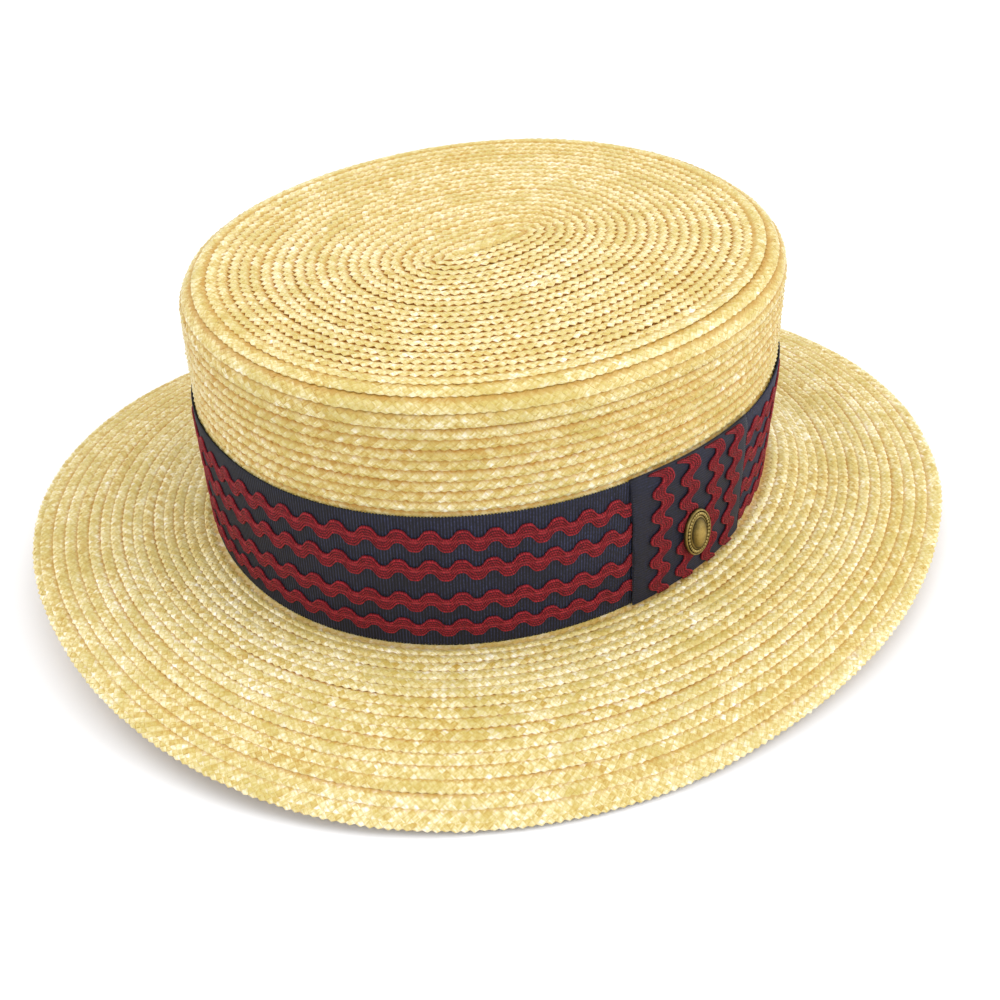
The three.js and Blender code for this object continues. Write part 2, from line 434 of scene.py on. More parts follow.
# One length of plait. Lines run along it; a cell lies across each pair of lines.
def plaitLayout(length, step):
    m = plait["columns"]
    width = plait["width"]
    gapAcross = width / (m + 1)
    n = int(length / step)
    index = np.arange(n + 1)
    groups = {}
    along, across, high, kind = [], [], [], []
    total = 0

    def put(key, v, u, h, raised):
        nonlocal total
        groups[key] = total + np.arange(len(v))
        along.append(v)
        across.append(np.full(len(v), float(u)))
        high.append(np.full(len(v), float(h)))
        kind.append(np.full(len(v), raised))
        total += len(v)

    for side, h in (("top", plait["mid"]), ("under", -plait["mid"])):
        for j in range(m + 2):
            v = (index + ((j + 1) % 2) / 2) * step
            put((side, j), v, j * gapAcross, h, 0)
    put("foldOut", index * step, -plait["tip"], 0, 0)
    put("foldIn", index * step, width + plait["tip"], 0, 0)
    shiftU, shiftV = gapAcross / 2 * plait["strand"], step / 4 * plait["strand"]
    for k in range(m + 1):
        middle = (index + (k % 2) / 2) * step
        put(("crest", k), middle, k * gapAcross if k else 0.1, plait["crest"], 2)
        # the two long sides of a strand, raised over its neighbours
        slant = -1 if k % 2 else 1
        u = k * gapAcross
        if k:
            put(("sideA", k), middle + slant * -shiftV, u - shiftU, plait["side"], 1)
        put(("sideB", k), middle + slant * shiftV, u + shiftU, plait["side"], 1)
    for k in range(2, m + 1):
        middle = (index + (k % 2) / 2) * step
        put(("belly", k), middle, k * gapAcross, -plait["crest"] * 0.9, 2)

    faces, columnOf, slantOf, under, rim = [], [], [], [], []

    def face(a, b, c, k, below=0, edge=0):
        faces.append(np.stack([a, b, c], -1))
        columnOf.append(np.full(len(a), k))
        slantOf.append(np.full(len(a), -1 if k % 2 else 1))
        under.append(np.full(len(a), below))
        rim.append(np.full(len(a), edge))

    for k in range(m + 2):
        odd = k % 2 == 1
        here = slice(0, n) if odd else slice(1, n)
        after = slice(1, n + 1) if odd else slice(1, n)
        before = slice(0, n) if odd else slice(0, n - 1)
        for side in ("top", "under"):
            left = groups[(side, k - 1)][here] if k else None
            right = groups[(side, k + 1)][here] if k <= m else None
            ahead = groups[(side, k)][after]
            behind = groups[(side, k)][before]
            below = side == "under"
            if k == 0:
                left = groups["foldOut"][here]
            if k == m + 1:
                right = groups["foldIn"][here]
            if not below and k <= m:
                crest = groups[("crest", k)][here]
                sideB = groups[("sideB", k)][here]
                if k == 0:
                    face(crest, left, ahead, k)
                    face(crest, ahead, sideB, k)
                    face(crest, sideB, right, k)
                    face(crest, right, behind, k)
                    face(crest, behind, left, k)
                    face(ahead, right, sideB, k)
                    continue
                sideA = groups[("sideA", k)][here]
                if odd:
                    ring = [left, sideA, ahead, right, sideB, behind]
                    face(left, ahead, sideA, k)
                    face(right, behind, sideB, k)
                else:
                    ring = [left, ahead, sideB, right, behind, sideA]
                    face(ahead, right, sideB, k)
                    face(behind, left, sideA, k)
                for a, b in zip(ring, ring[1:] + ring[:1]):
                    face(crest, a, b, k)
            elif not below:
                face(left, ahead, right, k)
                face(left, right, behind, k)
            elif 2 <= k <= m:
                belly = groups[("belly", k)][here]
                ring = [left, behind, right, ahead]
                for a, b in zip(ring, ring[1:] + ring[:1]):
                    face(belly, a, b, k, 1)
            else:
                face(left, behind, right, k, 1)
                face(left, right, ahead, k, 1)
    # the folded edges
    for line, fold, flip in ((0, "foldOut", False), (m + 1, "foldIn", True)):
        top, low = groups[("top", line)][1 : n - 1], groups[("under", line)][1 : n - 1]
        here, after = groups[fold][1 : n - 1], groups[fold][2:n]
        if flip:
            face(here, top, low, line)
            face(top, after, low, line)
        else:
            face(here, low, top, line, 0, 1)
            face(low, after, top, line, 0, 1)
    return {
        "along": np.concatenate(along),
        "across": np.concatenate(across),
        "high": np.concatenate(high),
        "kind": np.concatenate(kind),
        "faces": np.concatenate(faces),
        "column": np.concatenate(columnOf),
        "slant": np.concatenate(slantOf),
        "under": np.concatenate(under),
        "rim": np.concatenate(rim),
        "foot": groups[("under", 0)],
        "gap": gapAcross,
    }


# Tone of each strand, which changes where one straw ends and the next is laid in
def strandTones(column, slant, middle, step, length):
    half = np.rint(2 * middle / step).astype(int)
    strand = np.mod(half + slant * column, plait["strands"])
    tone = np.zeros(len(column))
    for q in range(plait["strands"]):
        count = int(length / plait["joinShort"]) + 4
        joins = np.cumsum(chance.uniform(plait["joinShort"], plait["joinLong"], count))
        tones = chance.beta(1.6, 1.4, count + 1)
        mine = strand == q
        tone[mine] = tones[np.searchsorted(joins, middle[mine])]
    jitter = chance.random(half.max() + 20)
    own = jitter[np.clip(half + strand, 0, None) % len(jitter)]
    return np.clip(tone * (1 - plait["jitter"]) + plait["jitter"] * own, 0, 1)


def smoothNoise(x, reach, size, seed):
    table = np.random.default_rng(seed).uniform(-1, 1, int(np.max(x) / size) + 4)
    whole = np.floor(x / size).astype(int)
    part = x / size - whole
    part = part * part * (3 - 2 * part)
    return reach * (table[whole] * (1 - part) + table[whole + 1] * part)


# "path" gives the distance across the surface after so many turns from startAngle
def plaitPiece(name, node, place, surface, path, span, step, startAngle, seed):
    ridge = ridges[place]
    turns = np.linspace(span[0], span[1], int((span[1] - span[0]) * plait["samples"]) + 2)
    angle = startAngle + turns * fullTurn
    line = surface(angle, path(turns) - plait["line"])[0]
    run = np.concatenate([[0], np.cumsum(np.linalg.norm(np.diff(line, axis=0), axis=1))])
    made = plaitLayout(run[-1], step)
    along, across = made["along"], made["across"]
    loose = np.random.default_rng(seed)
    count = len(along)
    tilt = loose.normal(0, 1, (3, count)) * plait["stray"]
    turn = np.interp(np.clip(along, 0, run[-1]), run, turns)
    where = path(turn) + smoothNoise(along, *plait["drift"], seed + 1)
    squeeze = 1.0
    if node == "brim":  # the first row narrows to fit against the crown
        squeeze = np.clip((where - hat["gap"]) / (plait["width"] + plait["tip"]), 0, 1)
    past = np.minimum(across, 0) + np.maximum(across - plait["width"], 0)
    pitch = path(turn) - path(turn - 1)
    snug = np.clip((plait["width"] - pitch) / plait["softOver"], plait["softest"], 1)
    inward = (across - past * (1 - ridge["fold"] * snug) + tilt[0]) * squeeze
    calm = np.clip((where - inward - ridge["calm"][0]) / ridge["calm"][1], 0, 1)
    angle = startAngle + np.interp(np.clip(along + tilt[1], 0, run[-1]), run, turns) * fullTurn
    point, normal = surface(angle, where - inward)
    share = across / np.clip(pitch, plait["leastPitch"], plait["width"])
    depth = np.interp(share, ridge["share"], ridge["depth"]) * (0.4 + 0.6 * snug)
    depth = depth * calm + 0.25 * (1 - calm) + smoothNoise(along, *plait["sag"], seed + 2)
    rise = (made["high"] + tilt[2] * (made["kind"] > 0)) * ridge["relief"]
    rise[made["foot"]] -= ridge["foot"]  # the outer edge reaches down to the next row
    point = point + normal * (rise - depth)[:, None]

    faces = made["faces"]
    middle = along[faces].mean(1)
    tone = strandTones(made["column"], made["slant"], middle, step, run[-1])
    # the column offsets are painted light: the outer fold lighter as a painted highlight, the
    # strands further in lighter and darker as painted light and shade
    tone = 0.5 + (tone - 0.5) * ridge["mix"] + np.array(ridge["tone"])[made["column"]]
    tone = np.clip(tone, 0, 1)
    # straw runs along the strands
    c, h = made["gap"], step / 2
    size = math.hypot(c, h)
    u, v = across[faces], along[faces]
    slant = made["slant"][:, None]
    fibre = np.stack([(v * h - slant * u * c) / size + tone[:, None] * plait["fibreShift"],
                      (v * c + slant * u * h) / size], -1)
    # a flat layout of the rows, tops and undersides apart
    rows = int(math.ceil(span[1]) - math.floor(span[0])) + 1
    turnOf = turn[faces]
    base = np.floor(turnOf.mean(1))[:, None]
    lane = 2 * (base - math.floor(span[0])) + made["under"][:, None]
    edge, margin = 0.03, 0.04
    inLane = (u + plait["tip"]) / (plait["width"] + 2 * plait["tip"])
    flat = np.stack([(turnOf - base + edge) / (1 + 2 * edge),
                     (lane + margin + (1 - 2 * margin) * inLane) / (2 * rows)], -1)
    # lift is 0 at the low points, where the straw finish paints shade
    lift = np.where(made["kind"] == 0, 0.0, 1.0)
    # groove: where painted shade falls under the next row's edge, and on the outer fold's rim
    low, full = ridge["groove"]
    groove = np.clip((share - low) / (full - low), 0, 1) * calm * (0.3 + 0.7 * snug)
    groove = groove[faces]
    onRim = made["rim"] == 1
    groove[onRim] = np.maximum(groove[onRim], ridge["rim"] * snug[faces][onRim])
    piece = newPiece(
        name, point, [faces], straw, node,
        uvs=[("OFBake", flat), ("fibre", fibre)],
        values=[("tone", "FACE", tone), ("lift", "POINT", lift),
                ("groove", "CORNER", groove.ravel())],
        sharp=made["kind"] == 2,
    )
    print(name, "rows", round(span[1] - span[0], 2), "triangles", len(faces))
    return piece


# Rows from the tip's middle down the wall, then out over the brim. Pitch is the distance from
# row to row, step the length of one fold of the plait.
rowsOf = {
    "start": 2.2,
    "tipPitch": 3.35,
    "edgePitch": 4.9,
    "wallPitch": 3.5,
    "tipEnd": 76.0,
    "edgeEnd": 93.0,
    "wallEnd": 172.6,
    "footHeight": 29.0,  # wall below the rounded edge that is one piece with it
    "brimStart": 2.7,
    "brimRows": 17,
    "brimCut": 10,
    "brimFirst": 3.0,
    "tipStep": 2.95,
    "wallStep": 2.8,
    "brimStep": 2.65,
    "crownJoin": math.radians(90),
    "brimJoin": math.radians(90),
}

tipTurns = (rowsOf["tipEnd"] - rowsOf["start"]) / rowsOf["tipPitch"]
edgeTurns = (rowsOf["edgeEnd"] - rowsOf["tipEnd"]) / rowsOf["edgePitch"]
wallTurns = (rowsOf["wallEnd"] - rowsOf["edgeEnd"]) / rowsOf["wallPitch"]
crownTurns = tipTurns + edgeTurns + wallTurns


def crownPath(turns):
    return np.interp(
        turns,
        [0, tipTurns, tipTurns + edgeTurns, crownTurns],
        [rowsOf["start"], rowsOf["tipEnd"], rowsOf["edgeEnd"], rowsOf["wallEnd"]],
    )


def brimPath(turns):
    last = rowsOf["brimRows"] - 1
    first = rowsOf["brimFirst"]  # rows widen towards the edge
    edge = hat["brimWidth"] - 0.1 - rowsOf["brimStart"]
    turns = np.minimum(turns, last)
    return rowsOf["brimStart"] + first * turns + (edge - first * last) * (turns / last) ** 2


# The plait is cut into pieces at the centre back, where each laps over the one before
lap = 0.01
tipCut = math.floor(tipTurns + edgeTurns)
footCut = math.ceil(tipTurns + edgeTurns + rowsOf["footHeight"] / rowsOf["wallPitch"])
crownRows = [
    ("crown_tip_straw", "tip", 0.0, tipCut + lap, rowsOf["tipStep"]),
    ("crown_wall_straw", "wall", tipCut - lap, footCut + lap, rowsOf["wallStep"]),
    ("crown_foot_straw", "wall", footCut - lap, crownTurns, rowsOf["wallStep"]),
]
for i, (name, place, first, last, step) in enumerate(crownRows):
    plaitPiece(name, "crown", place, crownSurface, crownPath, (first, last), step,
               rowsOf["crownJoin"], 100 + 10 * i)
brimSpans = [
    ("brim_inner_straw", 0.0, rowsOf["brimCut"] + lap),
    ("brim_outer_straw", rowsOf["brimCut"] - lap, float(rowsOf["brimRows"])),
]
for i, (name, first, last) in enumerate(brimSpans):
    plaitPiece(name, "brim", "brim", brimSurface, brimPath, (first, last),
               rowsOf["brimStep"], rowsOf["brimJoin"], 200 + 10 * i)

ribbon = {
    "foot": 17.8,
    "height": 48.2,
    "back": 0.3,
    "thickness": 0.5,
    "rib": 0.95,
    "perRib": 4,
    "thread": 0.28,
    "ribHeight": 0.2,
    "scallop": 0.5,
}


def ribbonMaterial(name, ribs):
    # navy is the ribbon's own colour; lit and deep are its painted light and shade
    look = {"navy": rgb(24, 26, 46), "lit": rgb(62, 68, 106), "deep": rgb(7, 8, 16)}
    material, root = newMaterial(name)
    cloth = root.node("ShaderNodeUVMap", {"uv_map": "cloth"})
    split = root.node("ShaderNodeSeparateXYZ", None, {0: cloth})
    ridge = (split * (fullTurn / ribbon["rib"])).maths("COSINE") * 0.5 + 0.5
    thread = (split.other(1) * (fullTurn / ribbon["thread"])).maths("SINE") * 0.5 + 0.5
    cloud = root.place().noise(40.0, 4.0)
    fuzz = root.place().noise(1500.0, 2.0)
    # painted light and shade: rib crests lighter, the hollows between them darker, over random
    # cloud and fuzz in the cloth
    shade = (ridge * ribs + 0.25 - 0.5 * ribs + (cloud - 0.5) * 0.5 + fuzz - 0.5).kept()
    colour = shade.ramp((0.0, look["deep"]), (0.45, look["navy"]), (1.0, look["lit"]))
    bump = root.node("ShaderNodeBump", None,
                     {"Strength": 0.5, "Distance": 0.00008, "Height": thread * 0.5 + fuzz})
    finishMaterial(root, {"Base Color": colour, "Roughness": 0.62 + (fuzz - 0.5) * 0.2,
                          "Normal": bump, "Sheen Weight": 0.11, "Sheen Roughness": 0.4,
                          "Sheen Tint": (0.55, 0.6, 0.85, 1.0), "Specular IOR Level": 0.3})
    return material


wavy = {
    "back": 0.9,
    "thickness": 0.42,
    "cord": 0.3,
    "cords": 5,
    "perCord": 4,
    "perWave": 16,
    "stitch": 0.75,
    "seamWidth": 0.22,  # the thread that sews it down, and how much it follows the waves
    "seamFollow": 0.2,
    "pinch": 0.45,
    "steep": 0.1,  # steeper sides to the waves
    "drift": (0.3, 2.3),  # a row strays up and down by this much over so many waves
}


def braidMaterial():
    # bright and dark carry painted light and shade on the red cloth
    look = {"red": rgb(112, 12, 24), "bright": rgb(196, 48, 58), "dark": rgb(34, 3, 9),
            "thread": rgb(186, 60, 64)}
    material, root = newMaterial("redWavyBraid")
    cloth = root.node("ShaderNodeUVMap", {"uv_map": "cloth"})
    split = root.node("ShaderNodeSeparateXYZ", None, {0: cloth})
    cord = split.other(1) * float(wavy["cords"])
    # painted shade: each cord lighter in its middle, darker where it meets the next
    side = cord.maths("PINGPONG", 0.5) * 2.0
    # the knit's loops, used for the bump and as painted highlight dots
    knitAndHighlight = (split * (1 / wavy["stitch"]) + cord * 0.5).maths("PINGPONG", 0.5) * 2.0
    # painted highlight: the tape lighter towards its edges
    rim = ((split.other(1) - 0.5).maths("ABSOLUTE") * 2.0).stepped(0.72, 1.0)
    seam = root.onMesh("seam")
    fuzz = root.place().noise(1300.0, 3.0)
    # painted light and shade from the cords, knit dots and edges, over random fuzz
    shade = (side * 0.35 + knitAndHighlight * 0.3 + (fuzz - 0.45) * 0.9 + rim * 0.22).kept()
    colour = shade.ramp((0.0, look["dark"]), (0.45, look["red"]), (0.95, look["bright"]))
    colour = (seam * 0.6).blend(colour, look["thread"])
    bump = root.node("ShaderNodeBump", None, {"Strength": 0.8, "Distance": 0.00025,
                                              "Height": knitAndHighlight * 0.6 + fuzz * 0.5 + seam * 0.8})
    finishMaterial(root, {"Base Color": colour, "Roughness": 0.7 + (fuzz - 0.5) * 0.2,
                          "Normal": bump, "Sheen Weight": 0.05, "Sheen Roughness": 0.4,
                          "Sheen Tint": (1.0, 0.4, 0.4, 1.0), "Specular IOR Level": 0.25})
    return material


# the second number is how strong the painted rib light and shade is
navy = ribbonMaterial("navyRibbon", 0.75)
tabNavy = ribbonMaterial("navyTab", 0.15)
red = braidMaterial()


def cornerUv(faces, uv):
    return np.concatenate([uv[f].reshape(-1, 2) for f in faces])


def bandPiece():
    perRib = ribbon["perRib"]
    n = int(round(girth / ribbon["rib"])) * perRib
    along = np.arange(n) * girth / n
    wave = np.abs(np.cos(math.pi * np.arange(n) / perRib))
    foot, top = ribbon["foot"], ribbon["foot"] + ribbon["height"]
    # share of the height, how far the rib shows, and how far the edge follows it
    profile = [(-0.012, 0.5, 1.0), (0.0, 1.0, 0.7), (0.05, 1.0, 0.0), (0.35, 1.0, 0.0),
               (0.65, 1.0, 0.0), (0.95, 1.0, 0.0), (0.992, 1.0, -0.7), (1.0, 0.4, -1.0)]
    rise = footRise(angleAt(along))
    loops = []
    for share, rib, edge in profile:
        out = ribbon["back"] + ribbon["thickness"] * (0.55 + 0.45 * min(1, rib * 1.1))
        out = out + ribbon["ribHeight"] * rib * (wave - 0.5)
        start = foot + rise * (1 - share)
        z = start + share * (top - foot) + ribbon["scallop"] * edge * (1 - wave)
        loops.append(offWall(along, out, z))
    back = ribbon["back"]
    loops.append(offWall(along, back, top - 0.15 - ribbon["scallop"] * (1 - wave)))
    loops.append(offWall(along, back, foot + 0.15 + rise))
    sections = np.stack(loops, 1)
    points, faces = sweep(sections, True)
    k = sections.shape[1]
    height = [s * ribbon["height"] for s, _, _ in profile] + [ribbon["height"], 0]
    vertexUv = np.stack([np.repeat(along, k), np.tile(height, n)], -1)
    return newPiece("ribbon_band", points, faces, navy, "band",
                    uvs=[("cloth", cornerUv(faces, vertexUv))])


band = bandPiece()

# "middle" is the height of a row above the floor; "swell" widens its slopes
braidRows = [
    {"name": "1", "middle": 57.2, "waves": 64, "shift": 0.116, "half": 2.5, "swing": 1.72,
     "swell": 0.2},
    {"name": "2", "middle": 46.6, "waves": 65, "shift": 0.295, "half": 2.5, "swing": 1.64,
     "swell": 0.2},
    {"name": "3", "middle": 34.5, "waves": 65, "shift": 0.321, "half": 2.45, "swing": 1.5,
     "swell": 0.2},
    {"name": "4", "middle": 24.7, "waves": 67, "shift": 0.55, "half": 2.2, "swing": 1.35,
     "swell": 0.17},
]

tab = {
    "left": -10.6,
    "right": 40.8,
    "lean": 2.8,  # the foot stands further round than the top
    "back": 1.75,
    "thickness": 0.5,
    "columns": 40,
    "ribHeight": 0.08,
    "lip": 0.45,
    "drawnIn": 0.9,  # how far the top is pulled in towards the crown
    "drawnFrom": 60.5,
    "waveLength": 8.95,
    "topBump": 63.2,
    "half": 2.5,
    "swing": 2.0,
    "swell": 0.15,
    "seam": 0.4,  # how plain the sewing is
    "ripple": 0.1,
    "roll": 0.3,  # radius of the fold at the top
    "tail": 5.2,
    "tailSteps": 14,
}
tabTop = ribbon["foot"] + ribbon["height"] + tab["lip"]


def waveAt(turn):
    return np.sin(fullTurn * turn) + wavy["steep"] * np.sin(3 * fullTurn * turn)


# A wavy tape laid along a line on the flattened wall. "tilt" is the way that it lies at
# each place, "half" its half width there and "seam" how far the sewing is off its middle.
def wavyTape(name, node, along, z, out, tilt, half, seam, plain, wrap):
    k = wavy["cords"] * wavy["perCord"] + 1
    side = np.linspace(-1, 1, k)
    ridge = np.abs(np.sin(np.linspace(0, math.pi * wavy["cords"], k))) ** 0.7
    reach = side[None, :] * half[:, None]
    faceAlong = along[:, None] - np.sin(tilt)[:, None] * reach
    faceZ = np.minimum(z[:, None] + np.cos(tilt)[:, None] * reach, tabTop - 0.02)
    near = np.exp(-(((reach - seam[:, None]) / 0.4) ** 2))
    thin = np.clip(half / 2.2, 0.2, 1)[:, None]
    lift = (wavy["thickness"] + wavy["cord"] * ridge[None, :]) * thin
    lift = lift * (1 - wavy["pinch"] * near)
    face = offWall(faceAlong, out[:, None] + lift, faceZ)
    back = offWall(faceAlong[:, [-1, 0]], out[:, None], faceZ[:, [-1, 0]])
    sections = np.concatenate([face, back], 1)
    points, faces = sweep(sections, wrap)
    n = len(along)
    steps = np.hypot(np.diff(np.unwrap(along, period=girth)), np.diff(z))
    run = np.concatenate([[0], np.cumsum(steps)])
    v = np.concatenate([(side + 1) / 2, [1, 0]])
    vertexUv = np.stack([np.repeat(run, k + 2), np.tile(v, n)], -1)
    sewn = plain * np.exp(-(((reach - seam[:, None]) / wavy["seamWidth"]) ** 2))
    sewn = np.concatenate([sewn, np.zeros((n, 2))], 1).ravel()
    if not wrap:
        vertexUv = np.concatenate([vertexUv, [[0, 0.5], [run[-1], 0.5]]])
        sewn = np.concatenate([sewn, [0, 0]])
    return newPiece(name, points, faces, red, node,
                    uvs=[("cloth", cornerUv(faces, vertexUv))],
                    values=[("seam", "POINT", sewn)])


def bandBraid(row):
    n = row["waves"] * wavy["perWave"]
    turn = np.arange(n) / wavy["perWave"]
    along = turn * girth / row["waves"]
    wave = waveAt(turn + row["shift"])
    drift = smoothNoise(turn, *wavy["drift"], 31 + row["waves"])
    z = row["middle"] + drift + row["swing"] * wave
    half = row["half"] - row["swell"] * (2 * wave**2 - 1)
    seam = (wavy["seamFollow"] - 1) * row["swing"] * wave
    return wavyTape(f"ricrac_row_{row['name']}", f"ricrac_{row['name']}", along, z,
                    np.full(n, wavy["back"]), np.zeros(n), half, seam, 1.0, True)


bandTrims = [bandBraid(row) for row in braidRows]
print("band and its braid made")

# Each upright row: how far along the wall it stands at mid height, and its own width
tabRows = [
    {"name": "1", "along": -0.3, "size": 1.0},
    {"name": "2", "along": 10.7, "size": 0.98},
    {"name": "3", "along": 22.4, "size": 0.92},
    {"name": "4", "along": 32.5, "size": 0.95},
]
tabMiddle = ribbon["foot"] + ribbon["height"] / 2


def drawnIn(z):
    share = np.clip((z - tab["drawnFrom"]) / (tabTop - tab["drawnFrom"]), 0, 1)
    return tab["drawnIn"] * share**1.5


def tabPiece():
    foot = ribbon["foot"] - 0.2
    perRib, roll = ribbon["perRib"], tab["roll"]
    n = int(round((tabTop - foot) / ribbon["rib"])) * perRib + 1
    wave = np.abs(np.cos(math.pi * np.arange(n) / perRib))
    z = np.linspace(foot, tabTop - roll, n)
    width = tab["right"] - tab["left"]
    side = np.linspace(0, 1, tab["columns"])
    edge = 1 - np.clip(np.minimum(side, 1 - side) * width / 0.6, 0, 1)
    front = tab["back"] + tab["thickness"] * (1 - 0.45 * edge[None, :]) + (
        tab["ribHeight"] * (wave[:, None] - 0.5))
    front = front + tab["ripple"] * np.sin(z[:, None] * 0.55 + side * 5)
    front = front - drawnIn(z)[:, None]
    # over the top, down inside it to the wall, and back up behind the front
    turns = np.linspace(0, math.pi / 2, 5)[1:]
    face = tab["back"] + tab["thickness"] - tab["drawnIn"]
    ways = [(face - roll + roll * math.cos(t), tabTop - roll + roll * math.sin(t))
            for t in turns]
    ways += [(0.5, tabTop - 0.06), (0.4, tabTop - 0.4), (face - 0.5, tabTop - 0.44)]
    ways += [(tab["back"] - float(drawnIn(h)), h) for h in (65.6, 64.0, 62.0, 60.0, foot)]
    allOut = np.concatenate([front, np.array([[w[0]] * len(side) for w in ways])])
    allZ = np.concatenate([z, [w[1] for w in ways]])
    along = np.repeat((tab["left"] + side * width)[None, :], len(allZ), 0)
    along = along + tab["lean"] * ((tabMiddle - allZ) / ribbon["height"])[:, None]
    along = along - 0.5 * np.sin(allZ / 9.0)[:, None] * edge[None, :] * (side < 0.5)
    low = np.clip((tabTop - allZ) / (tabTop - foot), 0, 1)[:, None]
    height = allZ[:, None] + footRise(angleAt(along)) * low
    sections = offWall(along, allOut, height).transpose(1, 0, 2)
    points, faces = sweep(sections[:, ::-1], False)
    vertexUv = np.stack([np.tile((allZ - foot)[::-1], len(side)),
                         np.repeat(side * width, len(allZ))], -1)
    vertexUv = np.concatenate([vertexUv, [[0, 0], [0, width]]])
    return newPiece("ribbon_tab", points, faces, tabNavy, "bow_tab",
                    uvs=[("cloth", cornerUv(faces, vertexUv))])


def tabBraid(row):
    foot = ribbon["foot"] + float(footRise(angleAt(row["along"]))) - 0.1
    step = tab["waveLength"] / wavy["perWave"]
    z = np.arange(tab["topBump"], foot, -step)[::-1]
    wave = waveAt(0.25 + (z - tab["topBump"]) / tab["waveLength"])
    swing = tab["swing"] * row["size"]
    along = row["along"] + swing * wave
    half = (tab["half"] - tab["swell"] * (2 * wave**2 - 1)) * row["size"]
    # the end swings over to the left along the top edge, and narrows to a point
    t = np.linspace(0, 1, tab["tailSteps"])[1:, None]
    top = tab["topBump"]
    start = row["along"] + swing * wave[-1]
    marks = np.array([[start, top], [start, top + 2.2], [row["along"] - 1.0, tabTop - 0.6],
                      [row["along"] - tab["tail"], tabTop + 0.4]])
    curve = (marks[0] * (1 - t) ** 3 + 3 * marks[1] * t * (1 - t) ** 2
             + 3 * marks[2] * t**2 * (1 - t) + marks[3] * t**3)
    along = np.concatenate([along, curve[:, 0]])
    z = np.concatenate([z, curve[:, 1]])
    share = np.concatenate([np.zeros(len(half)), t[:, 0]])
    half = np.concatenate([half, np.full(len(t), half[-1])]) * (1 - 0.55 * share)
    heading = np.arctan2(np.gradient(z), np.gradient(along))
    tilt = math.pi / 2 + np.clip(share * 3, 0, 1) * (heading - math.pi / 2)
    seam = swing * 0.8 * np.concatenate([wave, np.ones(len(t))]) * (1 - share)
    out = tab["back"] + tab["thickness"] + 0.2 - drawnIn(z)
    return wavyTape(f"tab_ricrac_row_{row['name']}", f"tab_ricrac_{row['name']}",
                    along + tab["lean"] * (tabMiddle - z) / ribbon["height"] * 0.4, z, out,
                    tilt, half, seam, tab["seam"], False)


tabCloth = tabPiece()
tabTrims = [tabBraid(row) for row in tabRows]
print("tab made")

pin = {
    "halfWidth": 5.7,
    "halfHeight": 9.4,
    "height": 2.6,
    "along": 14.5,
    "up": 18.3,
    "tilt": math.radians(12),
    "back": 3.3,
    "steps": 68,
    "ends": 1.25,  # how much faster the ends step in than the sides
    "beads": 34,
    "bead": 0.62,
    "beadInset": 0.22,
    "beadRise": 0.3,
    "beadRings": 5,
    "beadSides": 10,
}


def brassMaterial():
    look = {"dark": rgb(38, 32, 16), "brass": rgb(124, 106, 56), "bright": rgb(190, 170, 110)}
    material, root = newMaterial("agedBrass")
    cloud = root.place().noise(300.0, 5.0)
    fine = root.place().noise(2200.0, 3.0)
    lift = root.onMesh("lift")
    worn = (lift * 0.8 + (cloud - 0.5) * 0.8 + (fine - 0.5) * 0.3).kept()
    colour = worn.ramp((0.05, look["dark"]), (0.5, look["brass"]), (0.95, look["bright"]))
    bump = root.node("ShaderNodeBump", None,
                     {"Strength": 0.4, "Distance": 0.0001, "Height": fine + cloud})
    finishMaterial(root, {"Base Color": colour, "Roughness": 0.62 - worn * 0.28,
                          "Metallic": 0.85, "Normal": bump})
    return material


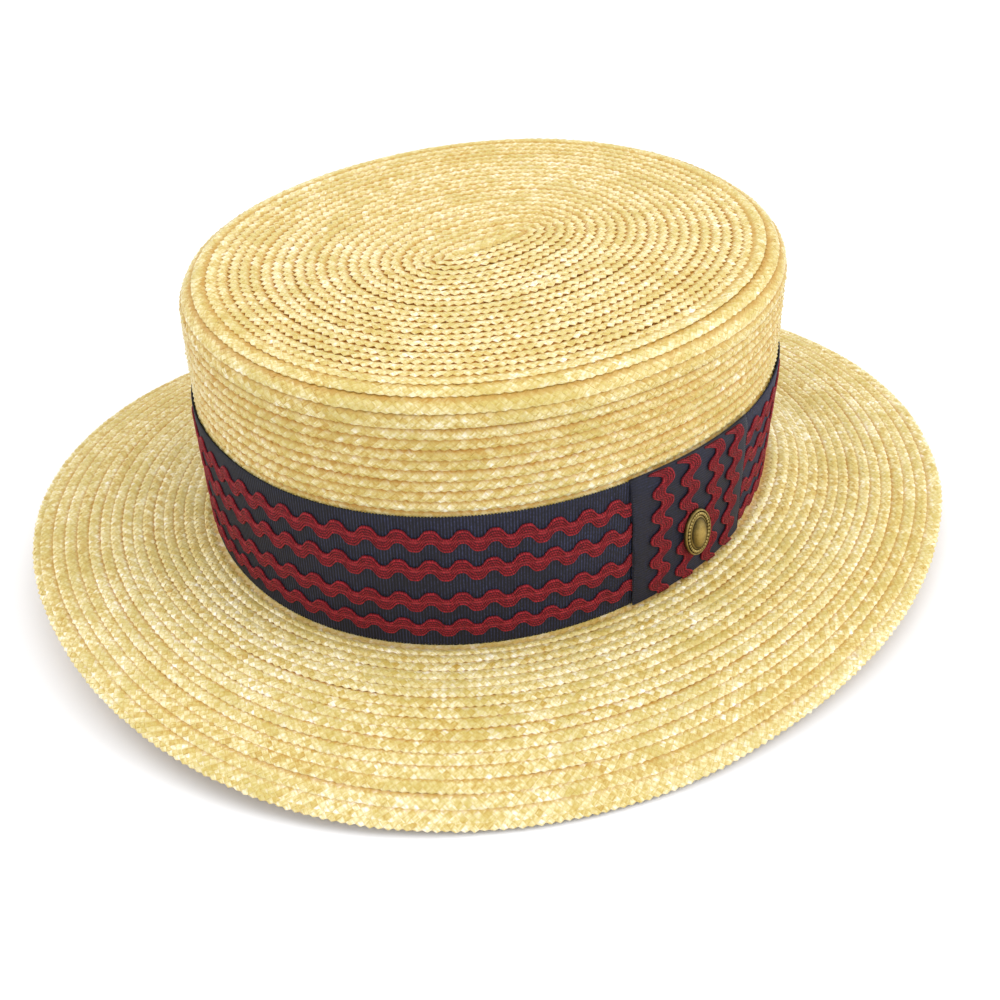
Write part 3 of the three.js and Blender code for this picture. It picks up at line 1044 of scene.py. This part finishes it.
def broochPiece():
    angle = float(angleAt(pin["along"]))
    nx, ny = (float(v) for v in outward(np.array(angle), 0))
    out = Vector((nx, ny, 0))
    turn = Matrix.Rotation(pin["tilt"], 3, out)
    side = turn @ Vector((-ny, nx, 0))
    up = turn @ Vector((0, 0, 1))
    base = offWall(pin["along"], pin["back"], ribbon["foot"] + pin["up"])
    frameOf = np.array([side, up, out])
    # reach from the middle, rise and wear from rim to middle
    profile = [(1.0, 0.0, 0.1), (1.0, 0.26, 0.4), (0.97, 0.42, 0.8), (0.93, 0.46, 0.9),
               (0.89, 0.34, 0.1), (0.86, 0.32, 0.0), (0.7, 0.34, 0.0), (0.66, 0.4, 0.5),
               (0.63, 0.5, 0.8), (0.6, 0.52, 0.5), (0.57, 0.5, 0.1), (0.5, 0.66, 0.4),
               (0.38, 0.84, 0.7), (0.24, 0.94, 0.9), (0.1, 0.99, 1.0)]
    steps = pin["steps"]
    turns = np.arange(steps) * fullTurn / steps
    local, wear = [], []
    for reach, rise, worn in profile:
        inset = (1 - reach) * pin["halfWidth"]
        local.append(np.stack([np.cos(turns) * (pin["halfWidth"] - inset),
                               np.sin(turns) * (pin["halfHeight"] - inset * pin["ends"]),
                               np.full(steps, rise * pin["height"])], -1))
        wear.append(np.full(steps, worn))
    rings = len(profile)
    local = np.concatenate(local + [np.array([[0, 0, 0], [0, 0, pin["height"]]])])
    wear = np.concatenate(wear + [np.array([0, 1.0])])
    j = np.arange(steps)
    k = (j + 1) % steps
    quads = np.concatenate([
        np.stack([r * steps + j, r * steps + k, (r + 1) * steps + k, (r + 1) * steps + j], -1)
        for r in range(rings - 1)])
    last = (rings - 1) * steps
    caps = np.concatenate([
        np.stack([np.full(steps, rings * steps), k, j], -1),
        np.stack([np.full(steps, rings * steps + 1), last + j, last + k], -1)])
    # beads between the two rims
    beads, beadWear, beadFaces = [], [], []
    start = len(local)
    level, around = pin["beadRings"], pin["beadSides"]
    for b in range(pin["beads"]):
        t = b * fullTurn / pin["beads"]
        inset = pin["beadInset"] * pin["halfWidth"]
        centre = np.array([math.cos(t) * (pin["halfWidth"] - inset),
                           math.sin(t) * (pin["halfHeight"] - inset * pin["ends"]),
                           pin["beadRise"] * pin["height"]])
        pole = []
        for a in range(level):
            lat = a * math.pi / 2 / level - 0.25
            for c in range(around):
                lon = c * fullTurn / around
                pole.append([math.cos(lat) * math.cos(lon), math.cos(lat) * math.sin(lon),
                             math.sin(lat) * 1.1])
        pole.append([0, 0, 1.1])
        pole = np.array(pole)
        beads.append(centre + pole * pin["bead"])
        beadWear.append(np.clip(pole[:, 2], 0, 1))
        first = start + b * len(pole)
        c = np.arange(around)
        d = (c + 1) % around
        for a in range(level - 1):
            beadFaces.append(np.stack([first + a * around + c, first + a * around + d,
                                       first + (a + 1) * around + d,
                                       first + (a + 1) * around + c], -1))
        caps = np.concatenate([caps, np.stack([
            np.full(around, first + level * around), first + (level - 1) * around + c,
            first + (level - 1) * around + d], -1), np.stack([
                np.full(around - 2, first), first + c[2:], first + c[1:-1]], -1)])
    points = base + np.concatenate([local] + beads) @ frameOf
    faces = [np.concatenate([quads] + beadFaces), caps]
    return newPiece("oval_brooch", points, faces, brassMaterial(), "brooch",
                    values=[("lift", "POINT", np.concatenate([wear] + beadWear))])


broochPiece()
print("brooch made")

studio = {
    "floor": rgb(244, 244, 245),
    "floorSize": 6.0,
    "sky": 0.97,
    "lights": {
        "above": {"place": (0.1, 0.1, 1.2), "size": 1.0, "power": 2.0},
        "right": {"place": (0.75, 0.75, 0.8), "size": 0.8, "power": 7.0},
        "front": {"place": (0.5, -0.8, 0.8), "size": 0.35, "power": 1.6},
        "left": {"place": (-0.8, -0.5, 0.8), "size": 0.6, "power": 3.0},
    },
}


def addStudio():
    size = studio["floorSize"] / 2
    mesh = bpy.data.meshes.new("floor")
    mesh.from_pydata([(-size, -size, 0), (size, -size, 0), (size, size, 0), (-size, size, 0)],
                     [], [(0, 1, 2, 3)])
    floor = bpy.data.objects.new("floor", mesh)
    scene.collection.objects.link(floor)
    material, root = newMaterial("paleFloor")
    finishMaterial(root, {"Base Color": studio["floor"], "Roughness": 0.9})
    mesh.materials.append(material)
    world = bpy.data.worlds.new("studio")
    world.use_nodes = True
    world.node_tree.nodes["Background"].inputs[0].default_value = (1, 1, 1, 1)
    world.node_tree.nodes["Background"].inputs[1].default_value = studio["sky"]
    scene.world = world
    for name, lamp in studio["lights"].items():
        data = bpy.data.lights.new(name, "AREA")
        data.size = lamp["size"]
        data.energy = lamp["power"]
        light = bpy.data.objects.new(name, data)
        scene.collection.objects.link(light)
        light.location = lamp["place"]
        aim = Vector((0, 0, 0.05)) - light.location
        light.rotation_euler = aim.to_track_quat("-Z", "Y").to_euler()
    scene.view_settings.view_transform = "Standard"
    scene.view_settings.look = "None"


addStudio()
print("studio set")
